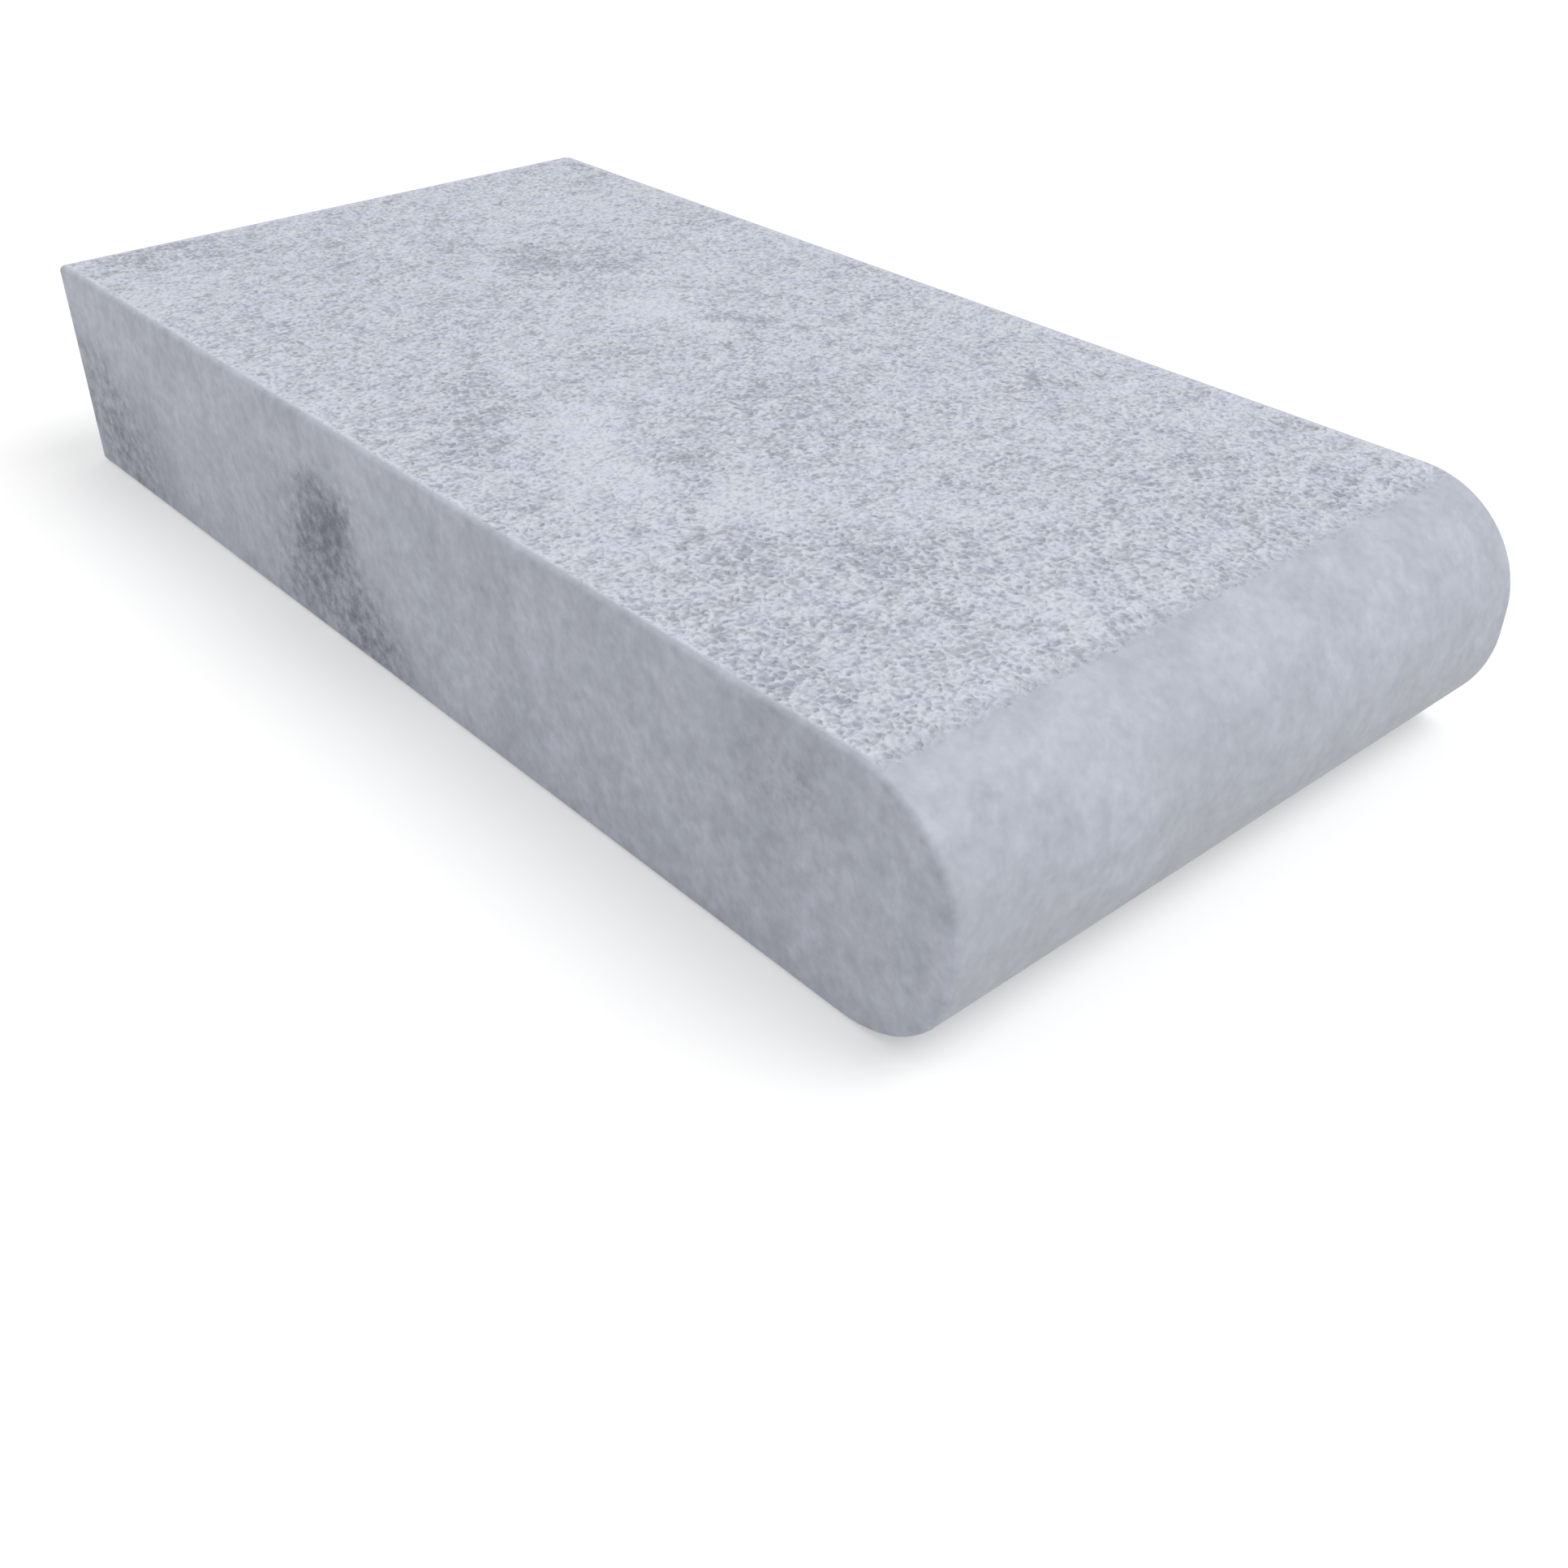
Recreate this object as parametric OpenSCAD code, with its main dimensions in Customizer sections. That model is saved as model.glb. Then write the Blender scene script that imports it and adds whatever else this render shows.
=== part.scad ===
// Pool coping stone: one solid block of stone, sawn flat on its bed, back and sides.
// The edge over the pool is a full bullnose. It lies as laid: +Z up, nose towards -Y,
// with the origin on the bed face under the middle of the stone.

/* [Stone] */
// Width of the stone, from joint face to joint face along the nose
stone_width = 152.4; // [100:0.1:610]
// Depth of the stone, from the tip of the nose to the back face
stone_depth = 304.8; // [150:0.1:610]
// Thickness of the stone, from the bed face to the top face
stone_thickness = 50.8; // [30:0.1:80]

/* [Edges] */
// Height of the upright band at the tip of the nose, between its two rounds
nose_flat = 4.8; // [2:0.1:12]
// Radius of the eased arris round both joint faces and the back face
arris = 1.4; // [0.5:0.1:3]

/* [Hidden] */
$fn = 96;
// Radius of each quarter round of the nose, and the line where the round starts
nose_r = (stone_thickness - nose_flat) / 2;
nose_start = nose_r - stone_depth / 2;

// Rectangle with its first corner at the origin and all its corners rounded
module eased_rect(size) {
    translate([arris, 0]) square([size.x - 2 * arris, size.y]);
    translate([0, arris]) square([size.x, size.y - 2 * arris]);
    for (x = [arris, size.x - arris], y = [arris, size.y - arris])
        translate([x, y]) circle(arris);
}

// Seen from above: the outline of the stone, raised over the given height
module plan_prism(height) {
    translate([-stone_width / 2, -stone_depth / 2, 0])
        linear_extrude(height) eased_rect([stone_width, stone_depth]);
}

// Seen from the nose: the section of the stone, from the start of the nose to the back face
module section_prism() {
    run = stone_depth / 2 - nose_start;
    translate([-stone_width / 2, stone_depth / 2, 0]) rotate([90, 0, 0])
        linear_extrude(run) eased_rect([stone_width, stone_thickness]);
}

// Seen from the side: the outline that eases the back face into the top and the bed
module side_prism() {
    translate([-stone_width / 2, -stone_depth / 2, 0]) rotate([90, 0, 90])
        linear_extrude(stone_width) eased_rect([stone_depth, stone_thickness]);
}

// Flat part of the stone behind the nose, eased along every sawn edge
module slab() {
    intersection() {
        section_prism();
        plan_prism(stone_thickness);
        side_prism();
    }
}

// Quarter of a drum lying along the nose, with eased rims, that starts at the given angle
module nose_round(centre_z, start_angle) {
    translate([-stone_width / 2, nose_start, centre_z]) rotate([90, 0, 90])
        rotate_extrude(angle = 90, start = start_angle)
            intersection() {
                translate([-nose_r, 0]) eased_rect([2 * nose_r, stone_width]);
                square([nose_r, stone_width]);
            }
}

// Upright band between the two rounds, eased at both ends
module nose_band() {
    translate([0, 0, nose_r])
        intersection() {
            plan_prism(nose_flat);
            translate([-stone_width / 2, -stone_depth / 2, 0])
                cube([stone_width, nose_r, nose_flat]);
        }
}

// Upper and lower quarter rounds with the upright band between them
module bullnose() {
    nose_round(stone_thickness - nose_r, 90);
    nose_round(nose_r, 180);
    nose_band();
}

module coping_stone() {
    color([0.76, 0.78, 0.82])
        union() {
            slab();
            bullnose();
        }
}

coping_stone();
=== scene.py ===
import math

import bpy
import numpy as np
from mathutils import Matrix, Vector, geometry, noise


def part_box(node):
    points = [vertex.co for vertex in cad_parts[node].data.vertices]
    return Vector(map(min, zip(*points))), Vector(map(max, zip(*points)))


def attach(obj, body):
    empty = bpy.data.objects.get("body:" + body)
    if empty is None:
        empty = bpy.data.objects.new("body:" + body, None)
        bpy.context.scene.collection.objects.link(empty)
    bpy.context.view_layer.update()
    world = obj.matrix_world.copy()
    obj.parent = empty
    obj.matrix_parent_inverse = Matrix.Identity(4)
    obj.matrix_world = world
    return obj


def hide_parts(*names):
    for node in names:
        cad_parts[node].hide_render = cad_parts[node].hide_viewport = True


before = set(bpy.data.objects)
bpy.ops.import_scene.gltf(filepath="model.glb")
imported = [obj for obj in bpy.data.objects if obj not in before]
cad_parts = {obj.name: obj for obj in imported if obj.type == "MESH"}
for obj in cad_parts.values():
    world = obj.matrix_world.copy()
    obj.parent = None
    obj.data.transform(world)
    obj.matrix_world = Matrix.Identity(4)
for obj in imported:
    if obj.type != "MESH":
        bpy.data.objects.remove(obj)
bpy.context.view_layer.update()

MM = 0.001

# Sizes of the stone in millimetres: its box comes from its part in model.glb, the rest repeats the CAD
low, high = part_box("coping_stone")
WIDTH, DEPTH, THICKNESS = (high - low) / MM
NOSE_FLAT = 4.8
ARRIS = 1.4
NOSE_R = (THICKNESS - NOSE_FLAT) / 2
NOSE_START = NOSE_R - DEPTH / 2

# Mesh steps in millimetres: on the blasted top, on the smooth faces and round an arris
FINE = 0.75
COARSE = 3.0
ARRIS_STEP = 0.73
# Gap that a strip of triangles bridges where the fine mesh meets the coarse one
BRIDGE = 1.5
# How far the fine mesh and the blasted finish run down the curve of the nose
FINE_ON_NOSE = 12.0
BLAST_ON_NOSE = 6.0

# The photograph's camera: angles in degrees, place and lens in metres and millimetres
CAMERA_AZIMUTH = -41.689
CAMERA_ELEVATION = 35.052
CAMERA_ROLL = 0.392
CAMERA_PLACE = (-0.21689, -0.27355, 0.18636)
CAMERA_LENS = 39.04
CAMERA_SENSOR = 36.0


# Section of the stone

TOP_RUN = DEPTH - NOSE_R - ARRIS
NOSE_RUN = NOSE_R * math.pi / 2
ARRIS_RUN = ARRIS * math.pi / 2
# Length and radius of each stretch of the section, from the back of the top over the nose
STRETCHES = [
    (TOP_RUN, None),
    (NOSE_RUN, NOSE_R),
    (NOSE_FLAT, None),
    (NOSE_RUN, NOSE_R),
    (TOP_RUN, None),
    (ARRIS_RUN, ARRIS),
    (THICKNESS - 2 * ARRIS, None),
    (ARRIS_RUN, ARRIS),
]
LOOP = sum(length for length, radius in STRETCHES)


def outward(turn):
    """Outward direction in the Y-Z plane: up at 0, towards the nose at a quarter turn."""
    return np.stack([-np.sin(turn), np.cos(turn)], -1)


def section(run):
    """Points and outward directions on the section at distances along it, from the back of the top."""
    run = np.mod(run, LOOP)
    point = np.zeros((len(run), 2))
    normal = np.zeros((len(run), 2))
    start, turn, begin = np.array([DEPTH / 2 - ARRIS, THICKNESS]), 0.0, 0.0
    for length, radius in STRETCHES:
        here = (run >= begin) & (run <= begin + length)
        past = run[here] - begin
        if radius is None:
            ahead = np.array([-math.cos(turn), -math.sin(turn)])
            point[here] = start + past[:, None] * ahead
            normal[here] = outward(turn)
            start = start + length * ahead
        else:
            middle = start - radius * outward(turn)
            normal[here] = outward(turn + past / radius)
            point[here] = middle + radius * normal[here]
            turn += math.pi / 2
            start = middle + radius * outward(turn)
        begin += length
    return point, normal


def spaced(start, end, step):
    """Even places from start to end, each about a step from the last."""
    return np.linspace(start, end, max(1, round((end - start) / step)) + 1)


def joined(*runs):
    """Runs of places that meet at their ends, as one run."""
    return np.concatenate([runs[0]] + [run[1:] for run in runs[1:]])


def columns(step):
    """Places across the stone: x, how far the skin has turned round the arris, and its sign."""
    turn = spaced(0, math.pi / 2, ARRIS_STEP / ARRIS)[1:]
    x = spaced(-WIDTH / 2 + ARRIS, WIDTH / 2 - ARRIS, step)
    edge = WIDTH / 2 - ARRIS + ARRIS * np.sin(turn)
    turns = np.concatenate([-turn[::-1], np.zeros(len(x)), turn])
    return np.concatenate([-edge[::-1], x, edge]), turns


def skin(runs, step):
    """Points and normals of the stone's skin, as a grid of rows along the section and columns."""
    x, turns = columns(step)
    point, normal = section(runs)
    inward = ARRIS * (1 - np.cos(turns))
    place = np.zeros((len(runs), len(x), 3))
    place[..., 0] = x
    place[..., 1:] = point[:, None] - inward[:, None] * normal[:, None]
    facing = np.zeros_like(place)
    facing[..., 0] = np.sin(turns)
    facing[..., 1:] = np.cos(turns)[:, None] * normal[:, None]
    return place, facing


# Relief of the blasted top

def eased(value, start, end):
    """0 below start, 1 above end and a smooth rise between."""
    t = np.clip((value - start) / (end - start), 0, 1)
    return t * t * (3 - 2 * t)


def noise_at(points, size, shift):
    """Smooth noise between about -1 and 1 with features about as large as size."""
    place = points / size + shift
    return np.array([noise.noise(p) for p in place.tolist()])


def swirled(points, size, reach, shift):
    """Points moved about by noise, so that what is drawn there has crooked outlines."""
    shifts = (shift, shift + 31.7, shift + 63.4)
    return points + reach * np.stack([noise_at(points, size, s) for s in shifts], axis=1)


# Clouds that show on the top: their middle, how far they reach and how much deeper they are
# pitted, or less deep where the number is negative
CLOUDS = [
    ((16, 82), 12, 1.3),
    ((12, 74), 9, 0.9),
    ((27, 70), 12, 1.3),
    ((7, 108), 12, 0.6),
    ((-54, 146), 15, 0.8),
    ((-38, 138), 12, 0.5),
    ((-28, 104), 14, 0.4),
    ((-60, -3), 10, 1.1),
    ((-51, 9), 9, 1.0),
    ((-42, 20), 10, 1.0),
    ((5, -20), 12, 1.0),
    ((-20, -24), 10, 0.7),
    ((-33, -37), 12, 0.8),
    ((-6, -42), 16, 0.6),
    ((-72, -34), 9, 0.7),
    ((27, 20), 7, 0.8),
    ((28, 12), 7, 0.6),
    ((-6, 12), 10, 0.6),
    ((52, -54), 6, 1.6),
    ((-51, -72), 13, 0.8),
    ((-28, -92), 13, 0.5),
    ((-73, -106), 18, 0.8),
    ((69, 130), 9, 0.6),
    ((66, 76), 9, 0.5),
    ((68, 24), 8, 0.6),
    ((49, -127), 5, 0.9),
    ((40, -108), 24, 0.3),
    ((-20, -112), 50, 0.2),
    ((14, 36), 11, -1.3),
    ((18, 18), 8, -0.8),
    ((2, 52), 12, -0.4),
    ((-37, -10), 13, -0.9),
    ((-43, -24), 12, -0.8),
    ((-46, -38), 13, -0.9),
    ((-32, -58), 12, -1.0),
    ((-11, -84), 12, -0.6),
    ((-23, -122), 14, -0.5),
    ((40, 116), 20, -0.4),
    ((-70, 112), 14, -0.5),
    ((38, 50), 12, -0.5),
]


# Depth of the blasted relief in millimetres: its mean, its layers as the size of their lumps, the
# shift of their noise and their height, and the same for the pits in it
RELIEF_DEPTH = 0.20
RELIEF_LAYERS = [(9.0, 3.1, 0.05), (4.2, 17.7, 0.06), (2.1, 41.3, 0.07)]
PIT_SIZE = 2.9
PIT_SHIFT = 67.9
PIT_DEPTH = 0.16


def blasting(runs, x):
    """How fully the skin is blasted: 1 on the top, 0 on the nose and on each arris."""
    from_nose = TOP_RUN + BLAST_ON_NOSE - runs
    from_side = WIDTH / 2 - ARRIS - np.abs(x)
    from_back = runs
    distance = np.minimum(np.minimum(from_nose[:, None], from_side), from_back[:, None])
    return eased(distance, -0.4, 1.6)


def pitting(points):
    """How much more deeply than elsewhere the top is pitted, mostly between -1 and 1."""
    crooked = swirled(swirled(points, 9.0, 5.0, 13.0), 3.0, 3.0, 7.0)
    total = 0.3 * noise_at(points, 12.0, 11.0) + 0.4 * noise_at(points, 6.0, 23.0)
    for middle, reach, strength in CLOUDS:
        apart = np.linalg.norm(crooked[:, :2] - middle, axis=1)
        total += strength * (1 - eased(apart, 0.1 * reach, 1.25 * reach))
    return total


def sunk(points, pitted):
    """Depth of the blasted relief below the honed surface, in millimetres."""
    depth = RELIEF_DEPTH
    for size, shift, weight in RELIEF_LAYERS:
        depth = depth + weight * noise_at(points, size, shift)
    pits = eased(noise_at(points, PIT_SIZE, PIT_SHIFT) + 0.15 * pitted, 0.25, 0.6)
    return depth + PIT_DEPTH * pits


# Mesh of the stone

def grid_faces(ids):
    """Quads between the numbered corners of a grid."""
    quads = np.stack([ids[:-1, :-1], ids[1:, :-1], ids[1:, 1:], ids[:-1, 1:]], -1)
    return quads.reshape(-1, 4).tolist()


def bridged(one, one_at, other, other_at):
    """Triangles between two rows of corners that lie at their own places along the same line."""
    faces, i, j = [], 0, 0
    while i < len(one) - 1 or j < len(other) - 1:
        if j == len(other) - 1 or (i < len(one) - 1 and one_at[i + 1] <= other_at[j + 1]):
            faces.append([one[i], other[j], one[i + 1]])
            i += 1
        else:
            faces.append([one[i], other[j], other[j + 1]])
            j += 1
    return faces


def inner_places(step):
    """Points on a staggered lattice inside a joint face, well clear of its outline."""
    ys = np.arange(-DEPTH / 2, DEPTH / 2, step)
    zs = np.arange(0, THICKNESS, step * math.sqrt(3) / 2)
    y, z = np.meshgrid(ys, zs)
    y = y + (np.arange(len(zs)) % 2)[:, None] * step / 2
    lattice = np.stack([y.ravel(), z.ravel()], 1)
    clear = step * 0.6
    in_slab = (lattice[:, 0] > NOSE_START) & (lattice[:, 0] < DEPTH / 2 - ARRIS - clear)
    in_height = np.abs(lattice[:, 1] - THICKNESS / 2) < THICKNESS / 2 - ARRIS - clear
    rise = np.maximum(np.abs(lattice[:, 1] - THICKNESS / 2) - NOSE_FLAT / 2, 0)
    in_nose = np.hypot(lattice[:, 0] - NOSE_START, rise) < NOSE_R - ARRIS - clear
    return lattice[in_height & (in_slab | in_nose)]


def joint_face(outline_ids, outline, side, first):
    """Triangles that fill a joint face inside its outline, and the points that they add."""
    inner = inner_places(COARSE)
    flat = [Vector(p) for p in np.concatenate([outline, inner]).tolist()]
    loop = [list(range(len(outline)))]
    found = geometry.delaunay_2d_cdt(flat, [], loop, 1, 1e-7)
    ids = list(outline_ids) + list(range(first, first + len(inner)))
    names = [ids[origins[0]] for origins in found[3]]
    faces = [[names[corner] for corner in face[::side]] for face in found[2]]
    return faces, np.insert(inner, 0, side * WIDTH / 2, axis=1)


# Points that agree to this many decimals of a millimetre are one, and ones nearer than this touch
SAME_DECIMALS = 5
TOUCHING = 1e-4


def merged(points, faces):
    """Which points to keep where some coincide, and the faces that are left between those."""
    rounded = points.round(SAME_DECIMALS)
    keep, renamed = np.unique(rounded, axis=0, return_index=True, return_inverse=True)[1:]
    renamed = renamed.ravel().tolist()
    left = []
    for face in faces:
        corners = list(dict.fromkeys(renamed[corner] for corner in face))
        if len(corners) > 2:
            left.append(corners)
    return keep, left


def top_part():
    """The back arris, the top and the upper nose as a fine grid with the blasted relief in it."""
    runs = joined(
        spaced(-ARRIS_RUN, 0, ARRIS_STEP),
        spaced(0, TOP_RUN, FINE),
        spaced(TOP_RUN, TOP_RUN + FINE_ON_NOSE, FINE),
    )
    points, facing = skin(runs, FINE)
    mask = blasting(runs, points[0, :, 0])
    depth, pitted = np.zeros(mask.shape), np.zeros(mask.shape)
    on_top = mask > 0
    pitted[on_top] = pitting(points[on_top])
    depth[on_top] = sunk(points[on_top], pitted[on_top]) * mask[on_top]
    return points - depth[..., None] * facing, facing, depth, pitted


def other_part():
    """The rest of the nose, the bed and the back face as a coarse grid."""
    nose_end = TOP_RUN + 2 * NOSE_RUN + NOSE_FLAT
    bed_end = nose_end + TOP_RUN
    runs = joined(
        spaced(TOP_RUN + FINE_ON_NOSE + BRIDGE, nose_end, COARSE * 0.7),
        spaced(nose_end, bed_end, COARSE),
        spaced(bed_end, bed_end + ARRIS_RUN, ARRIS_STEP),
        spaced(bed_end + ARRIS_RUN, LOOP - ARRIS_RUN - BRIDGE, COARSE),
    )
    return skin(runs, COARSE)


def stone_mesh():
    """The stone as one closed mesh: points, outward directions, faces, relief depth and pitting."""
    fine, fine_facing, depth, pitted = top_part()
    coarse, coarse_facing = other_part()
    fine_ids = np.arange(depth.size).reshape(depth.shape)
    coarse_ids = depth.size + np.arange(coarse[..., 0].size).reshape(coarse.shape[:2])
    faces = grid_faces(fine_ids) + grid_faces(coarse_ids)
    fine_x, coarse_x = columns(FINE)[0], columns(COARSE)[0]
    faces += bridged(fine_ids[-1], fine_x, coarse_ids[0], coarse_x)
    faces += bridged(coarse_ids[-1], coarse_x, fine_ids[0], fine_x)

    points = [fine.reshape(-1, 3), coarse.reshape(-1, 3)]
    facing = [fine_facing.reshape(-1, 3), coarse_facing.reshape(-1, 3)]
    first = fine_ids.size + coarse_ids.size
    for side, column in ((-1, 0), (1, -1)):
        ids = np.concatenate([fine_ids[:, column], coarse_ids[:, column]])
        outline = np.concatenate([fine[:, column, 1:], coarse[:, column, 1:]])
        apart = np.linalg.norm(outline - np.roll(outline, 1, axis=0), axis=1) > TOUCHING
        added_faces, added = joint_face(ids[apart], outline[apart], side, first)
        faces += added_faces
        points.append(added)
        facing.append(np.tile([side, 0.0, 0.0], (len(added), 1)))
        first += len(added)
    points, facing = np.concatenate(points), np.concatenate(facing)
    plain = np.zeros(first - depth.size)
    depth, pitted = np.append(depth, plain), np.append(pitted, plain)
    keep, faces = merged(points, faces)
    return points[keep], facing[keep], faces, depth[keep], pitted[keep]


# Layout of the UV map, in texels: the axis that each side of the stone faces and its sign, the axes
# that run across and up the map and which way the first one runs, texels per millimetre, and where
# the side starts
MAP_SIZE = 1024
MAP_SIDES = [
    (2, 1, 0, 1, 1, 3.30, (4, 4)),
    (2, -1, 0, 1, -1, 1.45, (798, 4)),
    (0, -1, 2, 1, 1, 2.60, (516, 4)),
    (0, 1, 2, 1, -1, 2.60, (657, 4)),
    (1, -1, 0, 2, 1, 3.10, (516, 805)),
    (1, 1, 0, 2, -1, 1.45, (798, 456)),
]


def map_places(points, facing, faces):
    """Place of each corner of each face on the UV map, by the side that the face belongs to."""
    counts = [len(face) for face in faces]
    corners = np.concatenate(faces)
    total = np.add.reduceat(facing[corners], np.cumsum([0] + counts[:-1]))
    faced = np.abs(total).argmax(axis=1)
    sign = np.sign(total[np.arange(len(faces)), faced])
    faced, sign = np.repeat(faced, counts), np.repeat(sign, counts)
    past, size = points - points.min(axis=0), np.ptp(points, axis=0)
    uv = np.zeros((len(corners), 2))
    for axis, side, across, up, way, scale, start in MAP_SIDES:
        here = (faced == axis) & (sign == side)
        place = past[corners[here]]
        along = place[:, across] if way > 0 else size[across] - place[:, across]
        uv[here] = (np.stack([along, place[:, up]], 1) * scale + start) / MAP_SIZE
    return uv


def make_stone():
    """The stone as an object, its smooth faces shaded by their true directions."""
    points, facing, faces, depth, pitted = stone_mesh()
    mesh = bpy.data.meshes.new("coping_stone_surface")
    mesh.from_pydata((points * MM).tolist(), [], faces)
    mesh.update()
    shaded = np.zeros(points.size)
    mesh.vertices.foreach_get("normal", shaded)
    shaded = np.where(depth[:, None] > 0, shaded.reshape(-1, 3), facing)
    mesh.shade_smooth()
    mesh.normals_split_custom_set_from_vertices(shaded.tolist())
    places = map_places(points, facing, faces)
    mesh.uv_layers.new(name="OFBake").data.foreach_set("uv", places.ravel())
    for name, values in (("depth", depth), ("pitted", pitted)):
        mesh.attributes.new(name, "FLOAT", "POINT").data.foreach_set("value", values)
    made = bpy.data.objects.new("coping_stone_surface", mesh)
    bpy.context.scene.collection.objects.link(made)
    return made


# Shader nodes

def new_node(tree, kind, inputs=(), **settings):
    """A node with its settings, whose inputs are given by name or number, as values or sockets."""
    made = tree.nodes.new(kind)
    for name, value in settings.items():
        setattr(made, name, value)
    for name, value in dict(inputs).items():
        if isinstance(value, bpy.types.NodeSocket):
            tree.links.new(value, made.inputs[name])
        else:
            made.inputs[name].default_value = value
    return made


class Maker:
    """Makes the nodes of one material, with each value in millimetres where it is a length."""

    def __init__(self, name):
        self.material = bpy.data.materials.new(name)
        self.material.use_nodes = True
        self.tree = self.material.node_tree
        self.tree.nodes.clear()
        self.output = self.tree.nodes.new("ShaderNodeOutputMaterial")

    def place(self):
        """The point on the stone, in millimetres."""
        at = new_node(self.tree, "ShaderNodeTexCoord").outputs["Object"]
        return self.scaled(at, 1 / MM)

    def stored(self, name):
        """A number that the mesh holds at each point."""
        return new_node(self.tree, "ShaderNodeAttribute", attribute_name=name).outputs["Fac"]

    def math(self, operation, *values):
        """A value worked out by a Math node."""
        inputs = dict(enumerate(values))
        return new_node(self.tree, "ShaderNodeMath", inputs, operation=operation).outputs[0]

    def between(self, value, start, end, low=0.0, high=1.0):
        """low where value is under start, high where it is over end and a smooth rise between."""
        inputs = {0: value, 1: start, 2: end, 3: low, 4: high}
        smooth = {"interpolation_type": "SMOOTHSTEP"}
        return new_node(self.tree, "ShaderNodeMapRange", inputs, **smooth).outputs[0]

    def chosen(self, switch, off, on):
        """One of two numbers, by a switch that is 0 or 1."""
        return self.between(switch, 0.0, 1.0, off, on)

    def moved(self, place, shift):
        """The same place moved by a vector."""
        inputs = {0: place, 1: shift}
        return new_node(self.tree, "ShaderNodeVectorMath", inputs, operation="ADD").outputs[0]

    def noise(self, place, size, detail, roughness, shift):
        """Soft noise from 0 to 1 with features about as large as size."""
        moved = self.moved(place, (shift, -shift, shift * 0.7))
        inputs = {"Vector": moved, "Scale": 1 / size, "Detail": detail, "Roughness": roughness}
        return new_node(self.tree, "ShaderNodeTexNoise", inputs).outputs[0]

    def cells(self, place, size):
        """Distance from the middle of the nearest cell, in cells, and that cell's random number."""
        inputs = {"Vector": place, "Scale": 1 / size}
        kind = {"feature": "F1", "voronoi_dimensions": "2D"}
        made = new_node(self.tree, "ShaderNodeTexVoronoi", inputs, **kind)
        colour = new_node(self.tree, "ShaderNodeSeparateColor", {0: made.outputs["Color"]})
        return made.outputs["Distance"], colour.outputs[0]

    def parts(self, vector):
        """The three parts of a vector."""
        return new_node(self.tree, "ShaderNodeSeparateXYZ", {0: vector}).outputs[:3]

    def scaled(self, vector, factor):
        """A vector or colour times a number."""
        inputs = {0: vector, 3: factor}
        return new_node(self.tree, "ShaderNodeVectorMath", inputs, operation="SCALE").outputs[0]

    def stirred(self, place, size, reach, shift):
        """The place moved about by noise, so that what is drawn there has crooked outlines."""
        inputs = {"Vector": self.moved(place, (shift, shift, shift)), "Scale": 1 / size}
        swirl = new_node(self.tree, "ShaderNodeTexNoise", inputs).outputs["Color"]
        inputs = {0: swirl, 1: (reach,) * 3, 2: self.moved(place, (-reach / 2,) * 3)}
        added = {"operation": "MULTIPLY_ADD"}
        return new_node(self.tree, "ShaderNodeVectorMath", inputs, **added).outputs[0]

    def mixed(self, factor, one, other):
        """A colour that goes from one to the other as factor goes from 0 to 1."""
        inputs = {"Factor": factor, 6: one, 7: other}
        return new_node(self.tree, "ShaderNodeMix", inputs, data_type="RGBA").outputs[2]


# Materials

# Colours of the stone, as linear light: honed, stained and blasted, and the painted shade in the
# hollows of the pits
HONED_LIGHT = (0.512, 0.536, 0.610, 1.0)
HONED_DARK = (0.462, 0.487, 0.552, 1.0)
# Greyer and darker honed colour low on the nose: partly the stone's own tone, partly painted shade
HONED_GREY_AND_SHADE = (0.452, 0.475, 0.512, 1.0)
STAINED = (0.158, 0.167, 0.206, 1.0)
BLASTED_GREY = (0.686, 0.713, 0.775, 1.0)
BLASTED_BLUE = (0.676, 0.706, 0.802, 1.0)
# Painted shade in the hollows of the pits, grey and bluish
PIT_SHADE_GREY = (0.375, 0.393, 0.440, 1.0)
PIT_SHADE_BLUE = (0.372, 0.392, 0.462, 1.0)

# Dark stains in the honed faces: the large one on the left side, one at its far end and one
# low on the nose
STAINS = [
    ((-76, 22, 34), 12, 0.45),
    ((-76, 30, 27), 13, 0.45),
    ((-76, 26, 14), 21, 0.55),
    ((-76, 46, 7), 20, 0.40),
    ((-76, 44, 30), 16, 0.25),
    ((-76, 8, 3), 20, 0.42),
    ((-76, 128, 3), 30, 0.46),
    ((-76, 144, 24), 24, 0.36),
    ((-76, -36, 4), 18, 0.15),
    ((-76, -116, 42), 16, 0.15),
    ((-76, -116, 20), 46, 0.20),
    ((-25, -150, 12), 9, 0.30),
]


def blasted_mask(m, place):
    """1 on the blasted top and 0 elsewhere, and the distance from its ragged edge at the nose."""
    x, y, z = m.parts(place)
    wander = m.math("MULTIPLY_ADD", m.noise(place, 1.8, 2.0, 0.6, 5.0), 3.6, -1.8)
    nose_end = NOSE_START - NOSE_R * math.sin(BLAST_ON_NOSE / NOSE_R)
    from_nose = m.math("ADD", m.math("SUBTRACT", y, nose_end), wander)
    from_side = m.math("SUBTRACT", WIDTH / 2 - 0.8 * ARRIS, m.math("ABSOLUTE", x))
    from_back = m.math("SUBTRACT", DEPTH / 2 - 0.8 * ARRIS, y)
    distance = m.math("MINIMUM", m.math("MINIMUM", from_nose, from_side), from_back)
    on_top = m.math("GREATER_THAN", z, THICKNESS - 3.0)
    return m.math("MULTIPLY", m.between(distance, -0.4, 0.8), on_top), from_nose


def spots(m, place, marks):
    """The strengths of the soft round spots that reach each place, added together."""
    total = 0.0
    for middle, reach, strength in marks:
        inputs = {0: place, 1: middle}
        apart = new_node(m.tree, "ShaderNodeVectorMath", inputs, operation="DISTANCE")
        shown = m.between(apart.outputs["Value"], 0.1 * reach, 1.25 * reach, strength, 0.0)
        total = m.math("ADD", total, shown)
    return total


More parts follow.
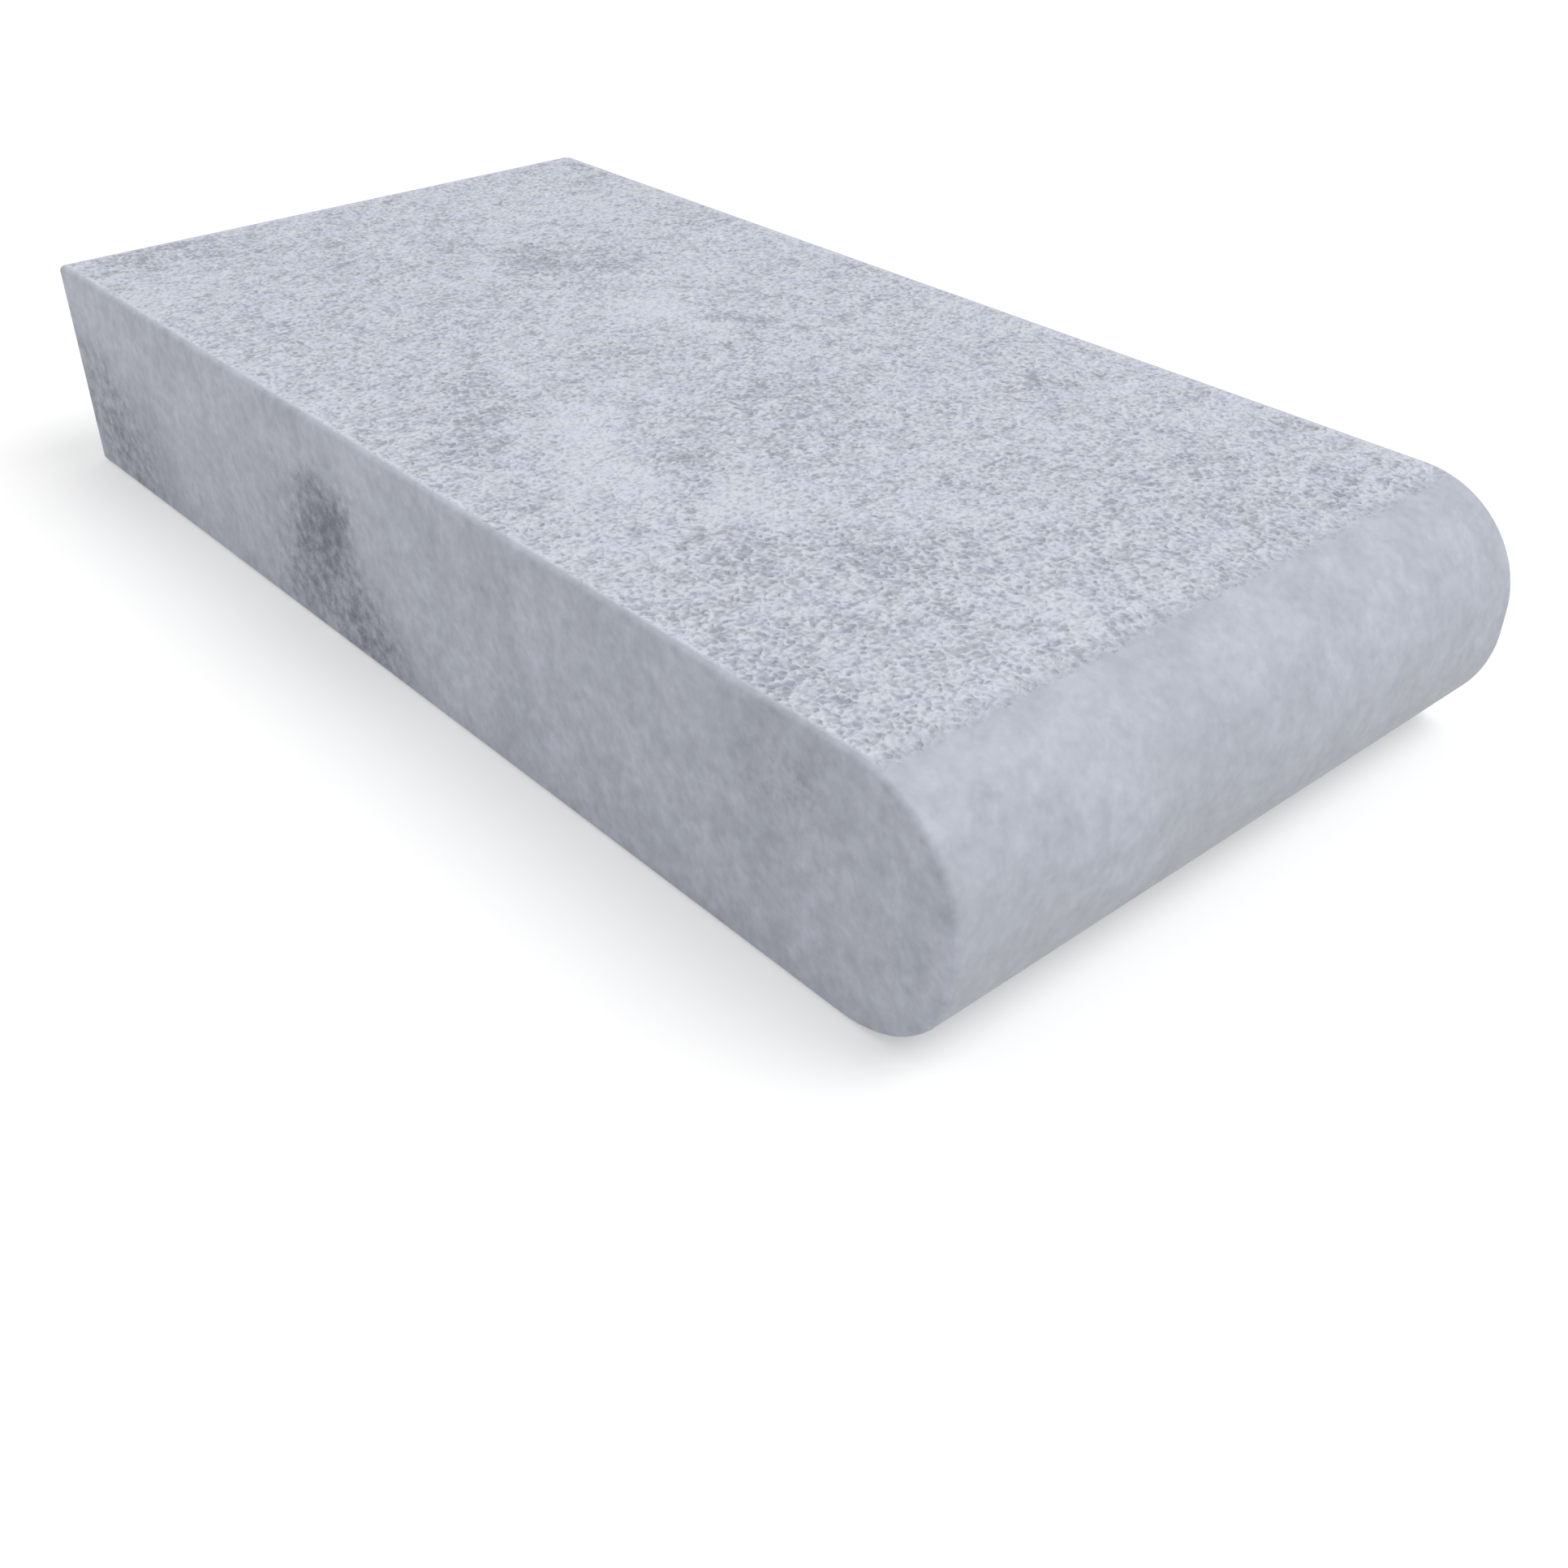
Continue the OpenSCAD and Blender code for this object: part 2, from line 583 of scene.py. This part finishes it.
def blasted_finish(m, place, from_nose):
    """Colour and height in millimetres of the pitted top, which is duller close to the nose; its
    hollows carry painted shade.
    """
    # Pits side by side, each with its own depth, in grains on lumps on swells
    stirred = m.stirred(place, 1.5, 1.7, 3.0)
    near, chance = m.cells(stirred, 1.2)
    pitted = m.stored("pitted")
    depth = m.between(chance, 0.0, 1.0, 0.02, 0.24)
    depth = m.math("MULTIPLY", depth, m.between(pitted, -1.0, 1.0, 0.55, 1.6))
    dips = m.math("MULTIPLY", m.between(near, 0.75, 0.0), depth)
    grains = m.noise(stirred, 0.95, 0.0, 0.5, 5.0)
    lumps = m.noise(place, 1.9, 0.0, 0.5, 17.0)
    swells = m.noise(place, 4.5, 1.0, 0.5, 29.0)
    rough = m.math("SUBTRACT", 0.08, dips)
    for layer, weight in ((grains, 0.85), (lumps, 0.5), (swells, 0.35)):
        rough = m.math("MULTIPLY_ADD", m.math("SUBTRACT", layer, 0.5), weight, rough)

    # The deeper the relief, the more its colour turns to painted shade: the hollows and pits are
    # painted darker, and more so where the top is more deeply pitted
    relief = m.math("SUBTRACT", m.stored("depth"), 0.22)
    raised = m.math("MULTIPLY_ADD", relief, -1.1, rough)
    raised = m.between(m.math("MULTIPLY_ADD", pitted, -0.12, raised), -0.50, 0.34)
    tint = m.noise(place, 7.0, 2.0, 0.6, 59.0)
    bluish = m.between(tint, 0.40, 0.60)
    pit_shade = m.mixed(bluish, PIT_SHADE_GREY, PIT_SHADE_BLUE)
    level = m.mixed(bluish, BLASTED_GREY, BLASTED_BLUE)
    level = m.mixed(m.between(from_nose, -1.0, 5.0), HONED_LIGHT, level)
    return m.mixed(raised, pit_shade, level), m.math("MULTIPLY", rough, 0.6)


def honed_finish(m, place):
    """Colour and height in millimetres of the honed nose and the sawn sides."""
    x, y, z = m.parts(place)
    on_side = m.math("GREATER_THAN", m.math("ABSOLUTE", x), WIDTH / 2 - 0.6 * ARRIS)
    cloud = m.noise(place, 15.0, 3.0, 0.6, 71.0)
    mottle = m.noise(place, 1.8, 3.0, 0.6, 37.0)
    mottled = m.math("SUBTRACT", mottle, 0.5)
    blotches = m.math("SUBTRACT", m.noise(place, 4.0, 2.0, 0.6, 53.0), 0.5)
    specks = m.between(m.noise(place, 1.1, 0.0, 0.5, 83.0), 0.66, 0.80)
    wide = m.math("SUBTRACT", m.noise(place, 26.0, 2.0, 0.6, 31.0), 0.5)

    # Each layer lightens or darkens the stone, with a weight for the nose and one for the sides
    layers = [
        (mottled, 0.26, 0.36),
        (blotches, 0.32, 0.45),
        (specks, 0.04, 0.04),
        (wide, 0.0, 0.30),
    ]
    # The nose starts a little darker than the sides: painted shade
    shade = m.chosen(on_side, 0.975, 1.0)
    for layer, for_nose, for_side in layers:
        shade = m.math("MULTIPLY_ADD", layer, m.chosen(on_side, for_nose, for_side), shade)

    # The nose turns greyer and darker towards its bed: partly the stone's own tone, partly painted
    # shade
    colour = m.mixed(m.between(cloud, 0.35, 0.65), HONED_DARK, HONED_LIGHT)
    grey_and_shade_low = m.between(m.math("MULTIPLY_ADD", wide, 60.0, z), 40.0, 12.0)
    grey_and_shade_low = m.math("MULTIPLY", grey_and_shade_low, m.chosen(on_side, 0.9, 0.0))
    colour = m.scaled(m.mixed(grey_and_shade_low, colour, HONED_GREY_AND_SHADE), shade)

    # Stains whose edges break up into clusters
    crooked = m.stirred(m.stirred(place, 9.0, 7.0, 13.0), 2.4, 3.0, 7.0)
    stain = spots(m, crooked, STAINS)
    clusters = m.math("SUBTRACT", m.noise(place, 3.0, 4.0, 0.7, 47.0), 0.5)
    broken = m.math("MULTIPLY", clusters, m.between(stain, 0.0, 0.5, 0.0, 2.2))
    broken = m.between(m.math("ADD", stain, broken), 0.0, 1.3)
    return m.mixed(broken, colour, STAINED), m.math("MULTIPLY", mottle, 0.03)


def stone_material():
    """Pale blue-grey marble: honed on the nose and sides, blasted and pitted on top."""
    m = Maker("blue_grey_marble")
    place = m.place()
    blasted, from_nose = blasted_mask(m, place)
    top_colour, top_height = blasted_finish(m, place, from_nose)
    colour, height = honed_finish(m, place)

    colour = m.mixed(blasted, colour, top_colour)
    inputs = {0: blasted, 2: height, 3: top_height}
    height = new_node(m.tree, "ShaderNodeMix", inputs, data_type="FLOAT").outputs[0]
    height = m.math("MULTIPLY", height, MM)
    bump = new_node(m.tree, "ShaderNodeBump", {"Height": height, "Distance": 1.0})
    finish = {
        "Base Color": colour,
        "Roughness": m.chosen(blasted, 0.55, 0.9),
        "Specular IOR Level": 0.3,
        "Normal": bump.outputs[0],
    }
    marble = new_node(m.tree, "ShaderNodeBsdfPrincipled", finish)
    m.tree.links.new(marble.outputs[0], m.output.inputs["Surface"])
    return m.material


# Colour of the floor, and the glow that makes it white to the camera alone
FLOOR_COLOUR = (0.8, 0.8, 0.8, 1.0)
FLOOR_GLOW = 0.32


def floor_material():
    """A plain pale floor that shows white where the light reaches it, and keeps the shadow."""
    m = Maker("studio_floor")
    plain = new_node(m.tree, "ShaderNodeBsdfDiffuse", {"Color": FLOOR_COLOUR})
    glow = new_node(m.tree, "ShaderNodeEmission", {"Strength": FLOOR_GLOW})
    shown = new_node(m.tree, "ShaderNodeAddShader", {0: plain.outputs[0], 1: glow.outputs[0]})
    seen = background_rays(m.tree)
    mix = new_node(
        m.tree, "ShaderNodeMixShader", {0: seen, 1: plain.outputs[0], 2: shown.outputs[0]}
    )
    m.tree.links.new(mix.outputs[0], m.output.inputs["Surface"])
    return m.material


def background_rays(tree):
    """1 for the rays that show the background: from the camera, or by way of gloss or glass."""
    path = new_node(tree, "ShaderNodeLightPath")
    total = path.outputs["Is Camera Ray"]
    for name in ("Is Glossy Ray", "Is Transmission Ray"):
        inputs = {0: total, 1: path.outputs[name]}
        total = new_node(tree, "ShaderNodeMath", inputs, operation="MAXIMUM").outputs[0]
    return total


# Studio

# Strength of the sky and of the lamp, the way to the lamp, its distance and size in metres, and
# half the width of the floor
WORLD_LIGHT = 0.665
KEY_LIGHT = 0.40
KEY_DIRECTION = (0.30, -0.43, 0.85)
KEY_DISTANCE = 4.0
KEY_SIZE = 2.4
FLOOR_HALF = 1.2


def make_camera():
    """The camera of the photograph."""
    turn, rise, roll = (math.radians(a) for a in (CAMERA_AZIMUTH, CAMERA_ELEVATION, CAMERA_ROLL))
    back = Vector(
        (math.sin(turn) * math.cos(rise), -math.cos(turn) * math.cos(rise), math.sin(rise))
    )
    level = Vector((0, 0, 1)).cross(back).normalized()
    upright = back.cross(level)
    right = math.cos(roll) * level + math.sin(roll) * upright
    up = math.cos(roll) * upright - math.sin(roll) * level
    camera = bpy.data.objects.new("camera", bpy.data.cameras.new("camera"))
    camera.data.sensor_width = CAMERA_SENSOR
    camera.data.lens = CAMERA_LENS
    camera.data.clip_start = 0.01
    axes = Matrix((right, up, back)).transposed()
    camera.matrix_world = Matrix.Translation(CAMERA_PLACE) @ axes.to_4x4()
    bpy.context.scene.collection.objects.link(camera)
    bpy.context.scene.camera = camera


def make_light():
    """One large soft lamp, to the right of the camera and above it."""
    lamp = bpy.data.lights.new("key_light", "AREA")
    lamp.shape = "DISK"
    lamp.size = KEY_SIZE
    lamp.energy = KEY_LIGHT * math.pi**2 * KEY_DISTANCE**2
    key = bpy.data.objects.new("key_light", lamp)
    towards = Vector(KEY_DIRECTION).normalized()
    key.location = towards * KEY_DISTANCE
    key.rotation_euler = towards.to_track_quat("Z", "Y").to_euler()
    bpy.context.scene.collection.objects.link(key)


def make_world():
    """An even sky that lights the stone softly and shows white."""
    world = bpy.data.worlds.new("studio")
    world.use_nodes = True
    tree = world.node_tree
    tree.nodes.clear()
    white = (1.0, 1.0, 1.0, 1.0)
    seen = background_rays(tree)
    glow = new_node(tree, "ShaderNodeBackground", {"Color": white, "Strength": WORLD_LIGHT})
    shown = new_node(tree, "ShaderNodeBackground", {"Color": white, "Strength": 1.0})
    mix = new_node(tree, "ShaderNodeMixShader", {0: seen, 1: glow.outputs[0], 2: shown.outputs[0]})
    output = tree.nodes.new("ShaderNodeOutputWorld")
    tree.links.new(mix.outputs[0], output.inputs["Surface"])
    bpy.context.scene.world = world


def make_floor():
    """A wide floor under the stone."""
    signs = ((-1, -1), (1, -1), (1, 1), (-1, 1))
    corners = [(x * FLOOR_HALF, y * FLOOR_HALF, 0) for x, y in signs]
    mesh = bpy.data.meshes.new("floor")
    mesh.from_pydata(corners, [], [(0, 1, 2, 3)])
    floor = bpy.data.objects.new("floor", mesh)
    floor.data.materials.append(floor_material())
    bpy.context.scene.collection.objects.link(floor)


make_camera()
make_light()
make_world()
make_floor()
bpy.context.scene.view_settings.view_transform = "Standard"

stone = make_stone()
stone.data.materials.append(stone_material())
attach(stone, "root")
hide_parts("coping_stone")
